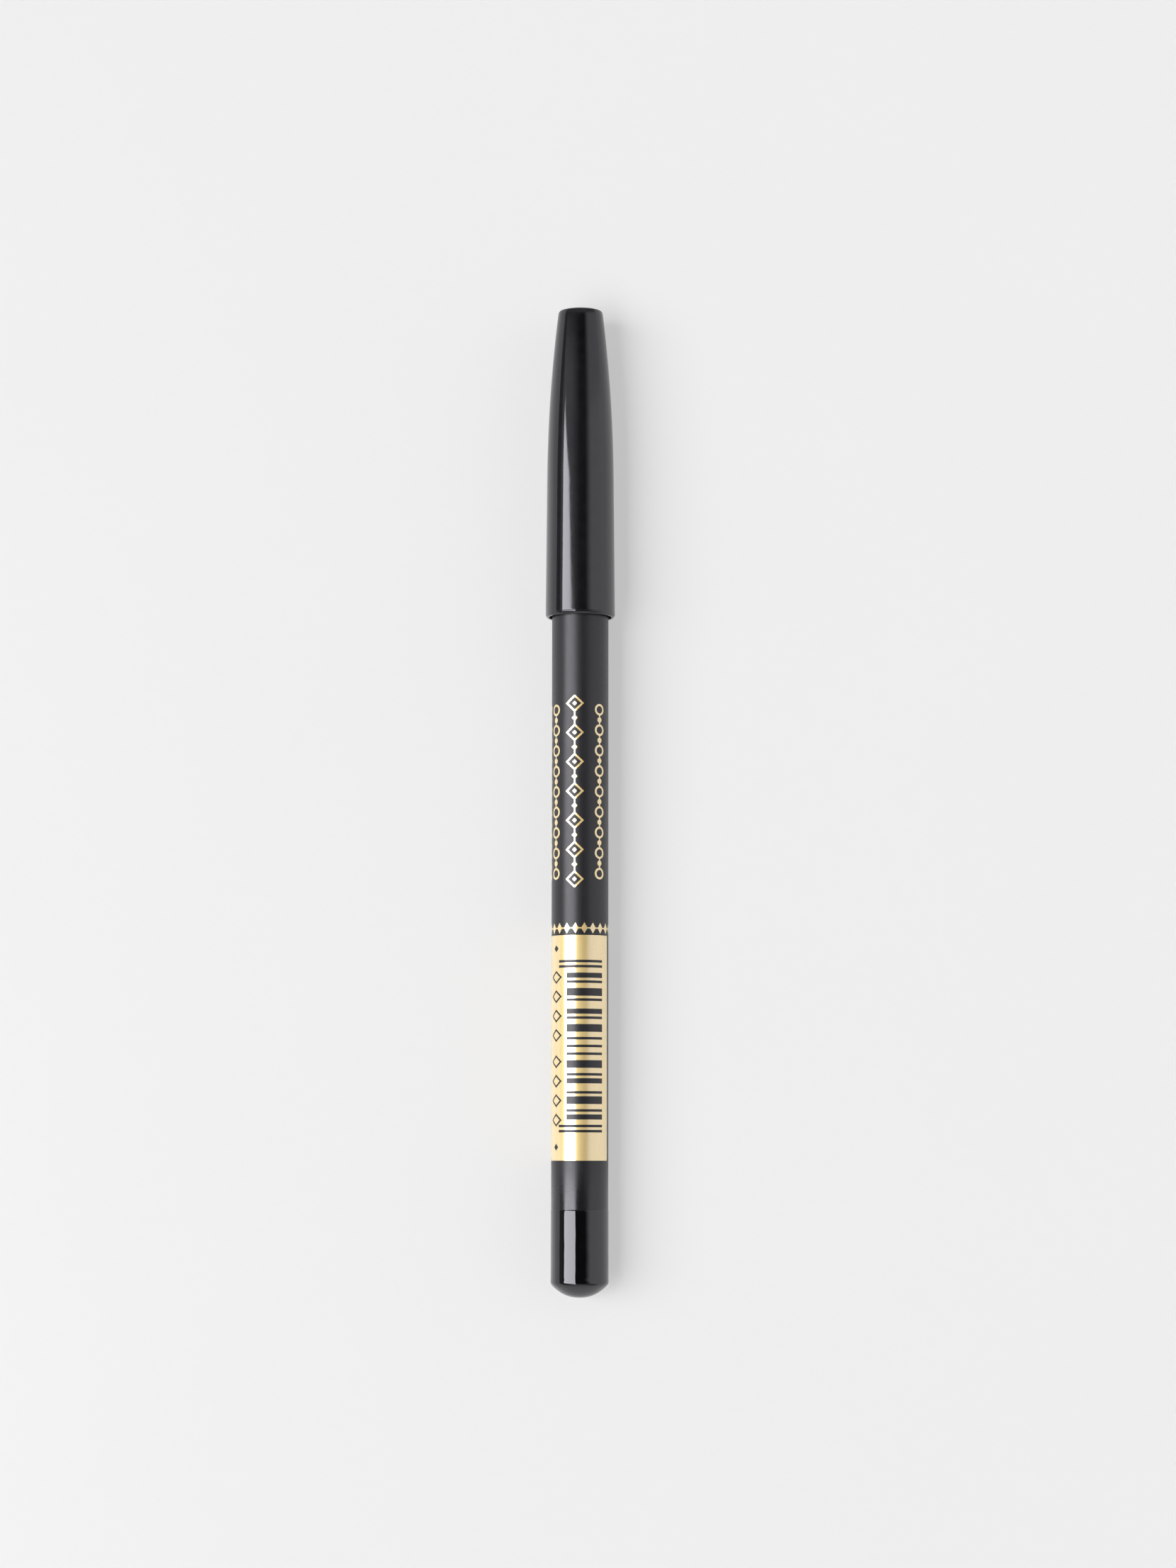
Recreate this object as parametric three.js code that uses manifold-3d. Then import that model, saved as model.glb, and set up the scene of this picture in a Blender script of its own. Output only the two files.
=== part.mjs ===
// A wood-cased kohl pencil with a push-on cap, lying on its side.
// Units are millimetres and +Z is up. The axis runs along +Y, from the dipped butt to the end of the cap.
// Inside the group, y is measured along the axis from the butt's lowest point, and angles round the barrel
// are in degrees from the top, growing towards +X.

import * as THREE from 'three';
import { mergeVertices } from 'three/addons/utils/BufferGeometryUtils.js';
import Module from 'manifold-3d';

// Barrel: two grooved slats glued round a wax core, lacquered, and sharpened at one end.
const barrelDiameter = 7.3;
const lacquerThickness = 0.12;
const coreDiameter = 3.6;
const glueThickness = 0.1;
const sharpenedHalfAngle = 11;
const pointRadius = 0.25;

// Stretches of the barrel from its butt to its sharpened shoulder. The foil panel lies above plainAboveDip.
const dipLength = 11.15;
const plainAboveDip = 6.2;
const ringGap = 0.2;
const ringHeight = 1.4;
const plainAboveRing = 4.4;
const lineLength = 24.9;
const plainBelowCap = 10.25;
const capEngagement = 18.5;

// Gloss dip over the butt: a thin sleeve closed by a dome.
const dipThickness = 0.06;
const domeHeight = 1.75;
const domeThickness = 0.25;

// Cap: a tapered skirt over the barrel, then a nose that narrows to a flat end.
const capMouthClearance = 0.24;
const capMouthWall = 0.61;
const capSeatClearance = 0.04;
const capSeatWall = 0.64;
const capNoseWall = 0.95;
const capEndRadius = 2.87;
const capEndWall = 1.2;
const capEndRounding = 0.45;
const capTipClearance = 3.28;
const lipHeight = 0.6;
const lipThickness = 0.36;
const mouthChamfer = 0.4;

// Grip ribs inside the cap, which hold the barrel and stop its sharpened shoulder.
const ribCount = 6;
const ribWidth = 0.5;
const ribStart = 2;
const ribLeadIn = 0.6;
const ribSeatLength = 3;
const ribClearance = 0.03;

// Gold foil stamped on the lacquer: the panel and its bars, the lozenge ring, and the lines above them.
const foilThickness = 0.03;
const panelAngles = [-115, 70.5];
const panelMarginBelow = 3.56;
const panelMarginAbove = 3.17;
const barModule = 0.327;
const barAngles = [-27.3, 50.9];
const longBarAngle = -46.7;
const ringRule = 0.16;
const ringLozengeCount = 20;
const ringLozengeWidth = 0.85;
const lineRule = 0.18;
const chainAngle = -11;
const lozengeCount = 7;
const lozengeWidth = 2.4;
const lozengeLength = 2.3;
const lozengeStroke = 0.34;
const smallLozengeWidth = 0.8;
const smallLozengeLength = 0.8;
const sideLineLength = 22.6;
const circleAngleRight = 43;
const circleAngleLeft = -57;
const circleCount = 9;
const circleDiameter = 1.5;
const circleStroke = 0.27;
const beadLineAngle = -83;
const beadCount = 17;
const beadDiameter = 0.7;

// Fits and fineness of the faceted solids.
const layerGap = 0.02;
const facets = 24;
const noseSteps = 10;
const domeSteps = 5;
const lipSteps = 4;
const circleCurveSteps = 6;
const wedgeStep = 45;
const weldTolerance = 1e-4;

// Bars and the gaps between them, in modules, from one end of the stack to its middle.
// The other half mirrors it, and the bars nearest each end are longer.
const halfStack = [1, 1, 1, 2, 2, 1, 1, 2, 3, 1, 1, 3, 2, 1, 1, 2, 3, 2, 1, 2, 1];
const stack = [...halfStack, ...halfStack.slice(0, -1).reverse()];
const longBars = 2;

// Sizes that follow from the ones above.
const barrelRadius = barrelDiameter / 2;
const woodRadius = barrelRadius - lacquerThickness;
const coreRadius = coreDiameter / 2;
const grooveRadius = coreRadius + layerGap;
const stackLength = barModule * stack.reduce((sum, modules) => sum + modules);
const panelStart = dipLength + plainAboveDip;
const panelEnd = panelStart + panelMarginBelow + stackLength + panelMarginAbove;
const ringStart = panelEnd + ringGap;
const ringEnd = ringStart + ringHeight;
const lineStart = ringEnd + plainAboveRing;
const lineEnd = lineStart + lineLength;
const lineMiddle = (lineStart + lineEnd) / 2;
const capMouth = lineEnd + plainBelowCap;
const barrelLength = capMouth + capEngagement;
const coneTangent = Math.tan(THREE.MathUtils.degToRad(sharpenedHalfAngle));
const coneApex = barrelLength + barrelRadius / coneTangent;
const pointEnd = coneApex - pointRadius / coneTangent;
const dipRadius = barrelRadius + dipThickness;
const capCavity = pointEnd + capTipClearance - capMouth;
const capLength = capCavity + capEndWall;
const capMouthRadius = barrelRadius + capMouthClearance + capMouthWall;
const capSeatRadius = barrelRadius + capSeatClearance + capSeatWall;
const overallLength = capMouth + capLength;
const axisHeight = capOuterRadius(lipHeight) * Math.cos(Math.PI / facets);
const foilRadius = barrelRadius + layerGap;

const wasm = await Module();
wasm.setup();

// A closed geometry as a solid that can be joined and cut.
function solidFrom(geometry) {
  const bare = geometry.clone();
  bare.deleteAttribute('normal');
  bare.deleteAttribute('uv');
  const merged = mergeVertices(bare, weldTolerance);
  const vertProperties = new Float32Array(merged.attributes.position.array);
  const triVerts = new Uint32Array(merged.index.array);
  return new wasm.Manifold(new wasm.Mesh({ numProp: 3, vertProperties, triVerts }));
}

// A solid's surface as a geometry for a mesh.
function geometryFrom(solid) {
  const mesh = solid.getMesh();
  const geometry = new THREE.BufferGeometry();
  geometry.setAttribute('position', new THREE.BufferAttribute(mesh.vertProperties, mesh.numProp));
  geometry.setIndex(new THREE.BufferAttribute(mesh.triVerts, 1));
  geometry.computeVertexNormals();
  return geometry;
}

function joined(solids) {
  return solids.reduce((whole, solid) => whole.add(solid));
}

// A solid of revolution about the pencil's axis, with a flat facet at the bottom to lie on.
// The profile is a list of [radius, y].
function revolve(profile) {
  const points = profile.map(([radius, y]) => new THREE.Vector2(radius, y));
  return new THREE.LatheGeometry(points, facets, Math.PI / facets);
}

// A ring between two radii and two places on the axis.
function ring(inner, outer, from, to) {
  return revolve([[inner, from], [outer, from], [outer, to], [inner, to], [inner, from]]);
}

// A box given by its corners.
function box(low, high) {
  const [width, length, height] = high.map((value, i) => value - low[i]);
  const geometry = new THREE.BoxGeometry(width, length, height);
  return geometry.translate(low[0] + width / 2, low[1] + length / 2, low[2] + height / 2);
}

// Place on the axis where the sharpened cone has this radius.
function coneY(radius) {
  return coneApex - radius / coneTangent;
}

// A domed end as a function of radius: apex is on the axis and base at the rim.
function dome(rim, base, apex) {
  const height = base - apex;
  const sphere = (rim * rim + height * height) / (2 * height);
  return (radius) => apex + sphere - Math.sqrt(sphere * sphere - radius * radius);
}

// Points of a dome's profile from one radius to another.
function domeProfile(surface, from, to) {
  return Array.from({ length: domeSteps + 1 }, (_, i) => {
    const radius = from + ((to - from) * i) / domeSteps;
    return [radius, surface(radius)];
  });
}

const woodButt = dome(woodRadius, domeHeight, domeThickness);

function coreGeometry() {
  return revolve([
    ...domeProfile(woodButt, 0, coreRadius),
    [coreRadius, coneY(coreRadius)],
    [pointRadius, pointEnd],
    [0, pointEnd],
  ]);
}

// The bored and sharpened casing, before it is parted into two slats and their glue.
function casingSolid() {
  const butt = domeProfile(woodButt, grooveRadius, woodRadius);
  return solidFrom(revolve([
    ...butt,
    [woodRadius, coneY(woodRadius)],
    [grooveRadius, coneY(grooveRadius)],
    butt[0],
  ]));
}

// The part of the casing between two heights above the axis, on one or both sides of it.
function casingSlice(casing, zFrom, zTo, xFrom = -barrelDiameter, xTo = barrelDiameter) {
  const slab = box([xFrom, -barrelDiameter, zFrom], [xTo, coneApex + barrelDiameter, zTo]);
  return geometryFrom(casing.intersect(solidFrom(slab)));
}

function lacquerGeometry() {
  const inner = woodRadius + layerGap;
  return revolve([
    [inner, domeHeight],
    [barrelRadius, domeHeight],
    [barrelRadius, coneY(barrelRadius)],
    [inner, coneY(inner)],
    [inner, domeHeight],
  ]);
}

function dipGeometry() {
  const inner = barrelRadius + layerGap;
  const outerDome = dome(dipRadius, domeHeight, 0);
  const innerDome = dome(inner, domeHeight - layerGap, domeThickness - layerGap);
  return revolve([
    ...domeProfile(outerDome, 0, dipRadius),
    [dipRadius, dipLength],
    [inner, dipLength],
    ...domeProfile(innerDome, inner, 0),
  ]);
}

// Outside radius of the cap at a distance from its mouth: a straight skirt, then a nose that bends inwards.
function capOuterRadius(distance) {
  const taper = (capMouthRadius - capSeatRadius) / capEngagement;
  const noseLength = capLength - capEngagement;
  const bend = (capSeatRadius - capEndRadius - taper * noseLength) / (noseLength * noseLength);
  const past = Math.max(distance - capEngagement, 0);
  return capMouthRadius - taper * distance - bend * past * past;
}

// Wall of the cap at a distance from its mouth.
function capWall(distance) {
  const { lerp } = THREE.MathUtils;
  if (distance < capEngagement) return lerp(capMouthWall, capSeatWall, distance / capEngagement);
  return lerp(capSeatWall, capNoseWall, (distance - capEngagement) / (capCavity - capEngagement));
}

function capInnerRadius(distance) {
  return capOuterRadius(distance) - capWall(distance);
}

// Distances from the mouth along the nose, ending at a given one.
function noseStations(end) {
  const step = (end - capEngagement) / noseSteps;
  return Array.from({ length: noseSteps + 1 }, (_, i) => capEngagement + i * step);
}

function capProfile() {
  const lip = Array.from({ length: lipSteps + 1 }, (_, i) => {
    const turn = (Math.PI / 2) * (i / lipSteps);
    const radius = capOuterRadius(lipHeight) - lipThickness * (1 - Math.sin(turn));
    return [radius, lipHeight * (1 - Math.cos(turn))];
  });
  const outerNose = noseStations(capLength - capEndRounding).map((d) => [capOuterRadius(d), d]);
  const innerNose = noseStations(capCavity).map((d) => [capInnerRadius(d), d]).reverse();
  return [
    ...lip,
    ...outerNose,
    [capEndRadius - capEndRounding, capLength],
    [0, capLength],
    [0, capCavity],
    ...innerNose,
    [capInnerRadius(mouthChamfer), mouthChamfer],
    lip[0],
  ].map(([radius, distance]) => [radius, capMouth + distance]);
}

// One rib as a plate. Its inner edge grips the barrel and then slopes with the sharpened cone,
// and its back is in the cap's wall.
function ribSolid(turn) {
  const grip = barrelRadius + ribClearance;
  const seatEnd = capEngagement + ribSeatLength;
  const backEnd = seatEnd + ribLeadIn;
  const inWall = (distance) => capOuterRadius(distance) - capWall(distance) / 2;
  const outline = new THREE.Shape([
    [inWall(ribStart), ribStart],
    [grip, ribStart + ribLeadIn],
    [grip, capEngagement],
    [grip - ribSeatLength * coneTangent, seatEnd],
    [inWall(backEnd), backEnd],
    [inWall(capEngagement), capEngagement],
  ].map(([radius, distance]) => new THREE.Vector2(radius, capMouth + distance)));
  const plate = new THREE.ExtrudeGeometry(outline, { depth: ribWidth, bevelEnabled: false });
  return solidFrom(plate.translate(0, 0, -ribWidth / 2).rotateY(turn));
}

function capGeometry() {
  const ribs = Array.from({ length: ribCount }, (_, i) => ribSolid((2 * Math.PI * i) / ribCount));
  return geometryFrom(joined([solidFrom(revolve(capProfile())), ...ribs]));
}

// A wedge of the space round the axis, between two angles and two places on the axis.
function wedge(angleFrom, angleTo, from, to) {
  const reach = 2 * barrelRadius;
  const steps = Math.ceil((angleTo - angleFrom) / wedgeStep);
  const rim = Array.from({ length: steps + 1 }, (_, i) => {
    const angle = THREE.MathUtils.degToRad(angleFrom + ((angleTo - angleFrom) * i) / steps);
    return new THREE.Vector2(reach * Math.sin(angle), -reach * Math.cos(angle));
  });
  const sector = new THREE.Shape([new THREE.Vector2(0, 0), ...rim]);
  const prism = new THREE.ExtrudeGeometry(sector, { depth: to - from, bevelEnabled: false });
  return solidFrom(prism.rotateX(-Math.PI / 2).translate(0, from, 0));
}

// A flat shape pushed out of the barrel at an angle. Its x runs round the barrel and its y along the axis.
function stamp(shape, angle, y) {
  const options = { depth: barrelRadius, bevelEnabled: false, curveSegments: circleCurveSteps };
  const prism = new THREE.ExtrudeGeometry(shape, options);
  return solidFrom(prism.translate(0, y, barrelRadius / 2).rotateY(THREE.MathUtils.degToRad(angle)));
}

// The foil film that a stamping solid leaves on the lacquer.
function foil(stamping, from, to) {
  const film = solidFrom(ring(foilRadius, foilRadius + foilThickness, from, to));
  return film.intersect(stamping);
}

// The panel's bars are gaps in the foil, where the lacquer shows.
function barSolids() {
  const lastBar = stack.length - 1;
  let y = panelEnd - panelMarginAbove;
  const bars = [];
  stack.forEach((modules, i) => {
    const width = modules * barModule;
    const atEnd = i < 2 * longBars || i > lastBar - 2 * longBars;
    if (i % 2 === 0) bars.push(wedge(atEnd ? longBarAngle : barAngles[0], barAngles[1], y - width, y));
    y -= width;
  });
  return bars;
}

function panelGeometry() {
  const sheet = foil(wedge(...panelAngles, panelStart, panelEnd), panelStart, panelEnd);
  return geometryFrom(sheet.subtract(joined(barSolids())));
}

function lozenge(width, length) {
  const corners = [[width / 2, 0], [0, length / 2], [-width / 2, 0], [0, -length / 2]];
  return corners.map(([x, y]) => new THREE.Vector2(x, y));
}

// Lozenges strung on a hoop round the barrel.
function lozengeRingGeometry() {
  const middle = (ringStart + ringEnd) / 2;
  const hoop = solidFrom(ring(coreRadius, barrelDiameter, middle - ringRule / 2, middle + ringRule / 2));
  const shape = new THREE.Shape(lozenge(ringLozengeWidth, ringHeight));
  const lozenges = Array.from({ length: ringLozengeCount }, (_, i) => {
    return stamp(shape, (360 * i) / ringLozengeCount, middle);
  });
  return geometryFrom(foil(joined([hoop, ...lozenges]), ringStart, ringEnd));
}

function openLozenge() {
  const share = 1 - (2 * lozengeStroke) / Math.min(lozengeWidth, lozengeLength);
  const shape = new THREE.Shape(lozenge(lozengeWidth, lozengeLength));
  shape.holes.push(new THREE.Path(lozenge(lozengeWidth * share, lozengeLength * share)));
  return shape;
}

// A straight rule along the axis, between two places measured from a line's middle.
function rule(from, to) {
  const half = lineRule / 2;
  const corners = [[half, from], [half, to], [-half, to], [-half, from]];
  return new THREE.Shape(corners.map(([x, y]) => new THREE.Vector2(x, y)));
}

function bead() {
  return new THREE.Shape().absarc(0, 0, beadDiameter / 2, 0, 2 * Math.PI);
}

function openCircle() {
  const shape = new THREE.Shape().absarc(0, 0, circleDiameter / 2, 0, 2 * Math.PI);
  shape.holes.push(new THREE.Path().absarc(0, 0, circleDiameter / 2 - circleStroke, 0, 2 * Math.PI));
  return shape;
}

// Places of evenly spaced motifs along a line of some length, measured from its middle.
function places(length, count, motifLength) {
  const pitch = (length - motifLength) / (count - 1);
  return Array.from({ length: count }, (_, i) => (i - (count - 1) / 2) * pitch);
}

// Open motifs in a line at an angle, with a rule and a small solid motif between each two.
function stringLine(angle, centres, open, inset, small) {
  const solids = centres.map((y) => stamp(open, angle, lineMiddle + y));
  centres.slice(1).forEach((y, i) => {
    const before = centres[i];
    solids.push(stamp(rule(before + inset, y - inset), angle, lineMiddle));
    solids.push(stamp(small, angle, lineMiddle + (before + y) / 2));
  });
  return geometryFrom(foil(joined(solids), lineStart, lineEnd));
}

function chainGeometry() {
  const centres = places(lineLength, lozengeCount, lozengeLength);
  const inset = lozengeLength / 2 - lozengeStroke / 2;
  const small = new THREE.Shape(lozenge(smallLozengeWidth, smallLozengeLength));
  return stringLine(chainAngle, centres, openLozenge(), inset, small);
}

function circleLineGeometry(angle) {
  const centres = places(sideLineLength, circleCount, circleDiameter);
  const inset = circleDiameter / 2 - circleStroke / 2;
  return stringLine(angle, centres, openCircle(), inset, bead());
}

// Beads strung on a rule.
function beadLineGeometry() {
  const centres = places(sideLineLength, beadCount, beadDiameter);
  const solids = centres.map((y) => stamp(bead(), beadLineAngle, lineMiddle + y));
  solids.push(stamp(rule(centres[0], centres.at(-1)), beadLineAngle, lineMiddle));
  return geometryFrom(foil(joined(solids), lineStart, lineEnd));
}

function material(color, roughness, metalness = 0) {
  return new THREE.MeshStandardMaterial({ color, roughness, metalness });
}

const capPlastic = material(0x121214, 0.2);
const satinLacquer = material(0x1a1a1c, 0.4);
const glossLacquer = material(0x080809, 0.06);
const goldFoil = material(0xe6c888, 0.25, 1);
const cedarWood = material(0xc59a6c, 0.7);
const woodGlue = material(0xd9c79a, 0.5);
const kohlWax = material(0x0d0d0e, 0.5);

const casing = casingSolid();
const seam = glueThickness / 2;
const glue = seam - layerGap;
const pieces = [
  ['wood_slat_upper', casingSlice(casing, seam, barrelDiameter), cedarWood],
  ['wood_slat_lower', casingSlice(casing, -barrelDiameter, -seam), cedarWood],
  ['glue_seam_left', casingSlice(casing, -glue, glue, -barrelDiameter, 0), woodGlue],
  ['glue_seam_right', casingSlice(casing, -glue, glue, 0, barrelDiameter), woodGlue],
  ['kohl_core', coreGeometry(), kohlWax],
  ['lacquer_coat', lacquerGeometry(), satinLacquer],
  ['end_dip', dipGeometry(), glossLacquer],
  ['foil_bar_panel', panelGeometry(), goldFoil],
  ['foil_lozenge_ring', lozengeRingGeometry(), goldFoil],
  ['foil_lozenge_chain', chainGeometry(), goldFoil],
  ['foil_circle_line_right', circleLineGeometry(circleAngleRight), goldFoil],
  ['foil_circle_line_left', circleLineGeometry(circleAngleLeft), goldFoil],
  ['foil_bead_line', beadLineGeometry(), goldFoil],
  ['cap_shell', capGeometry(), capPlastic],
];

// The part's origin is under the middle of its length, on the surface that the cap's mouth lies on.
const pencil = new THREE.Group();
pencil.position.set(0, -overallLength / 2, axisHeight);
pieces.forEach(([name, geometry, finish]) => {
  const mesh = new THREE.Mesh(geometry, finish);
  mesh.name = name;
  pencil.add(mesh);
});

const part = new THREE.Group();
part.add(pencil);

export default part;
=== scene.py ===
"""Looks of a capped, wood-cased kohl pencil that lies on a pale floor, built round its CAD frame."""

import math

import bmesh
import bpy
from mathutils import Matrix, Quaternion, Vector, noise


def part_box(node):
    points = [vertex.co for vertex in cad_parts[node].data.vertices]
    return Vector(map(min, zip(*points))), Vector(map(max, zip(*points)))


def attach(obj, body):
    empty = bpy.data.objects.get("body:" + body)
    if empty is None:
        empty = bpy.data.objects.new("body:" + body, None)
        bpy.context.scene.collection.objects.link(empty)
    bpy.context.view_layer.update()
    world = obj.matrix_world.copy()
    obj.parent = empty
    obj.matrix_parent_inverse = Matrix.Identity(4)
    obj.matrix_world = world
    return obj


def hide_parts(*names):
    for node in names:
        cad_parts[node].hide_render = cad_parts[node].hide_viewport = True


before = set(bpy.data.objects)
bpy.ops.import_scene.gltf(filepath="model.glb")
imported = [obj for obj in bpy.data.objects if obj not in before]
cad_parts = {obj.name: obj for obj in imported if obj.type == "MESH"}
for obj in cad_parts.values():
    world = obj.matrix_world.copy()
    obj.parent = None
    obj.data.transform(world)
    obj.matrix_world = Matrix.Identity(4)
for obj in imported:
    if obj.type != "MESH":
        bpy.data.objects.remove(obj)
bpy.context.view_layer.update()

# Units and the frame's places. Sizes are in mm, and y runs along the axis from the butt's lowest point.
MM = 0.001
FACETS = 24
BUTT_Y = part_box("end_dip")[0].y
AXIS_Z = sum(corner.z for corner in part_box("cap_shell")) / 2
PLACE = Vector((0, BUTT_Y, AXIS_Z))


def node_span(node):
    """Where a node starts and ends along the axis."""
    return [(corner.y - BUTT_Y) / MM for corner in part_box(node)]


def node_radius(node):
    """Radius of a round node, whose CAD facets make its box a little narrow."""
    low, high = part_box(node)
    return (high.x - low.x) / 2 / MM / math.cos(math.pi / FACETS)


BARREL_RADIUS = node_radius("lacquer_coat")
WOOD_RADIUS = node_radius("wood_slat_upper")
CORE_RADIUS = node_radius("kohl_core")
DIP_RADIUS = node_radius("end_dip")
CAP_RADIUS = node_radius("cap_shell")
DIP_END = node_span("end_dip")[1]
PANEL_START, PANEL_END = node_span("foil_bar_panel")
RING_START, RING_END = node_span("foil_lozenge_ring")
LINE_START, LINE_END = node_span("foil_lozenge_chain")
SIDE_LINE_START, SIDE_LINE_END = node_span("foil_bead_line")
CAP_MOUTH, CAP_TOP = node_span("cap_shell")
POINT_END = node_span("kohl_core")[1]

# Sharpened end.
POINT_RADIUS = 0.25
SHARPENED_HALF_ANGLE = math.radians(11)
CONE_TANGENT = math.tan(SHARPENED_HALF_ANGLE)
CONE_APEX = POINT_END + POINT_RADIUS / CONE_TANGENT
SHOULDER = CONE_APEX - BARREL_RADIUS / CONE_TANGENT
TIP_TURNS = (math.radians(20), math.radians(70))
TIP_FLATNESS = 0.5
RIDGE_HEIGHT = 0.008
WOOD_RIDGES = (0.2, 6, 1.2)
CORE_RIDGES = (0.3, 4, 1)

# Wood, core and lacquer of the barrel.
BUTT_HEIGHT = 1.75
DOME_SHELL = 0.25
SEAM_HALF = 0.05
GROOVE_GAP = 0.015
SKIN_OVERLAP = 0.01
SKIN_START = 2.1
EDGE_WAVE = 0.12
EDGE_WAVE_LENGTH = 1.6

# Dip at the butt.
DOME_RISE = 1.75
DOME_POWER = 2.35
DOME_FILLET = 0.4
DIP_SIDE = 1.95
DIP_TAPER = 0.012
DIP_BEAD = 0.016
DIP_BEAD_WIDTH = 0.2
DIP_BEAD_Y = 2.2
DIP_BEAD_REACH = 3
DIP_RIPPLE = 0.008
DIP_RIPPLE_LENGTH = 1.3
DIP_RIPPLE_FADE = (0.5, 2.2)
MENISCUS = 0.28
RIM_WAVE = 0.07
RIM_WAVE_LENGTH = 2.2
RIM_WAVE_REACH = 1.5

# Cap.
CAP_LENGTH = CAP_TOP - CAP_MOUTH
CAP_SEAT_RADIUS = 4.33
CAP_END_RADIUS = 2.87
CAP_END_ROUNDING = 0.25
CAP_EDGE_HEIGHT = 0.3
CAP_EDGE_TURN = math.radians(78)
CAP_END_WALL = 1.2
CAP_ENGAGEMENT = SHOULDER - CAP_MOUTH
CAP_CAVITY = CAP_LENGTH - CAP_END_WALL
CAP_MOUTH_WALL = 0.61
CAP_SEAT_WALL = 0.64
CAP_NOSE_WALL = 0.95
LIP_HEIGHT = 0.5
LIP_BEND = 0.38
LIP_END = 0.16
LIP_THICKNESS = 0.22
LIP_LINE = 0.58
LIP_LINE_DEPTH = 0.02
LIP_LINE_HALF_WIDTH = 0.04
LIP_LINE_SECTION = ((1.7, 0), (1, 0), (0, 1), (-1, 0))
LIP_LINE_MARGIN = 0.3
MOUTH_LEDGE = 0.16
MOUTH_DEPTH = 1
MOUTH_EDGE = 0.05
RIB_COUNT = 6
RIB_WIDTH = 0.5
RIB_HALF_ANGLE = RIB_WIDTH / 2 / BARREL_RADIUS
RIB_FOOT = 1.06
RIB_TOLERANCE = 1.001
RIB_START = 2
RIB_LEAD_IN = 0.6
RIB_CLEARANCE = 0.03
CAP_RIPPLE = 0.004
CAP_RIPPLE_LENGTH = 5
GATE_MARK = ((0, -0.07), (0.26, -0.07), (0.34, -0.2), (0.6, -0.2), (0.72, -0.03), (0.8, 0))

# Gold foil on the barrel.
FOIL_SUNK = 0.01
FOIL_PROUD = 0.014
FOIL_STEP = 0.14
FOIL_SNAP = 1e-4
PANEL_ANGLES = (-115, 70.5)
PANEL_MARGIN_ABOVE = 3.17
BAR_MODULE = 0.327
BAR_ANGLES = (-27.3, 50.9)
LONG_BAR_ANGLE = -46.7
LONG_BARS = 2
HALF_STACK = (1, 1, 1, 2, 2, 1, 1, 2, 3, 1, 1, 3, 2, 1, 1, 2, 3, 2, 1, 2, 1)
MARK_ANGLE = -55
MARK_COUNT = 8
MARK_WIDTH = 2.1
MARK_LENGTH = 1.7
MARK_STROKE = 0.3
MARK_MARGIN = 5.35
MARK_PITCH = 2.47
MARK_GROUP_GAP = 0.87
END_MARK = 0.9
END_MARK_MARGIN = 1.7
RING_RULE = 0.16
RING_LOZENGE_COUNT = 20
RING_LOZENGE_WIDTH = 0.85
LINE_RULE = 0.18
CHAIN_ANGLE = -11
LOZENGE_COUNT = 7
LOZENGE_WIDTH = 2.4
LOZENGE_LENGTH = 2.3
LOZENGE_STROKE = 0.34
SMALL_LOZENGE = 0.8
GEM_LOZENGE = 0.62
CIRCLE_ANGLE_RIGHT = 43
CIRCLE_ANGLE_LEFT = -57
CIRCLE_COUNT = 9
CIRCLE_DIAMETER = 1.5
CIRCLE_STROKE = 0.27
BEAD_LINE_ANGLE = -83
BEAD_COUNT = 17
BEAD_DIAMETER = 0.7
CIRCLE_STEPS = 16

# Camera, in mm from the part's origin. It stands over the butt and leans towards the cap.
CAMERA_TARGET = (1.02, 1.87, AXIS_Z / MM)
CAMERA_FOOT_Y = -46.74
CAMERA_HEIGHT = 485
CAMERA_ROLL = 0.05
CAMERA_LENS = 86.8
CAMERA_CLIP_START = 10
SENSOR_LONG_SIDE = 36

# Studio light, as radiance and angles in degrees. Pairs are the start and end of a change.
EDGE_SOFTNESS = 0.5
SOFTBOX_RADIANCE = (6.0, 7.0)
SOFTBOX_ACROSS = (-17, -63.8)
SOFTBOX_LEAN = 0.2
SOFTBOX_TOP = (7.7, 0.1, 0.0028)
SOFTBOX_BOTTOM = (-45, -8)
HALO_RADIANCE = (0.07, 0.6)
HALO_ACROSS = (4, -44)
HALO_START = 8
HALO_FADE = (20, 26)
HALO_REST = 0.35
SLOT_RADIANCE = 0.03
LEFT_RADIANCE = 0.18
LEFT_ACROSS = (-74, -66)
WALL_RADIANCE = (0.95, 0.77)
WALL_FADE = (16, 19)
WALL_ACROSS = (20, 47)
WALL_LEAN = 0.5
WALL_LEAN_MOST = 5
END_RADIANCE = 0.3
END_ALONG = (24, 36)
HORIZON_RADIANCE = 0.75
HORIZON_ALONG = (45, 70)
BACKGROUND = 0.87
BACKDROP_TOP = (2, 3.5)

# Floor and the tint of the black pieces' sheen.
FLOOR_COLOR = (0.84, 0.84, 0.84)
FLOOR_SHADE = 0.99
FLOOR_GLOW = 0.5
FLOOR_SIDE = 12000
BLACK_TINT = (0.94, 0.93, 1, 1)

# Mesh steps round the axis and along each profile.
AROUND = 160
CORE_AROUND = 64
CAP_EDGE_STEPS = 7
NOSE_STEPS = 40
SKIRT_STEPS = 24
LIP_STEPS = 12
RIB_LEAD_STEPS = 4
BORE_STEPS = 30
SKIN_STEPS = 60
DOME_STEPS = 20
FILLET_STEPS = 14
BEAD_STEPS = 14
SLEEVE_STEPS = 50
MENISCUS_STEPS = 8
CUP_STEPS = 10
BUTT_STEPS = 6
SLAT_STEPS = 20
WOOD_CONE_STEPS = 90
CORE_BUTT_STEPS = 5
ROD_STEPS = 12
CORE_CONE_STEPS = 50
TIP_STEPS = 5
WELD_DISTANCE = 1e-5
SHARP_ANGLE = math.radians(35)


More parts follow.
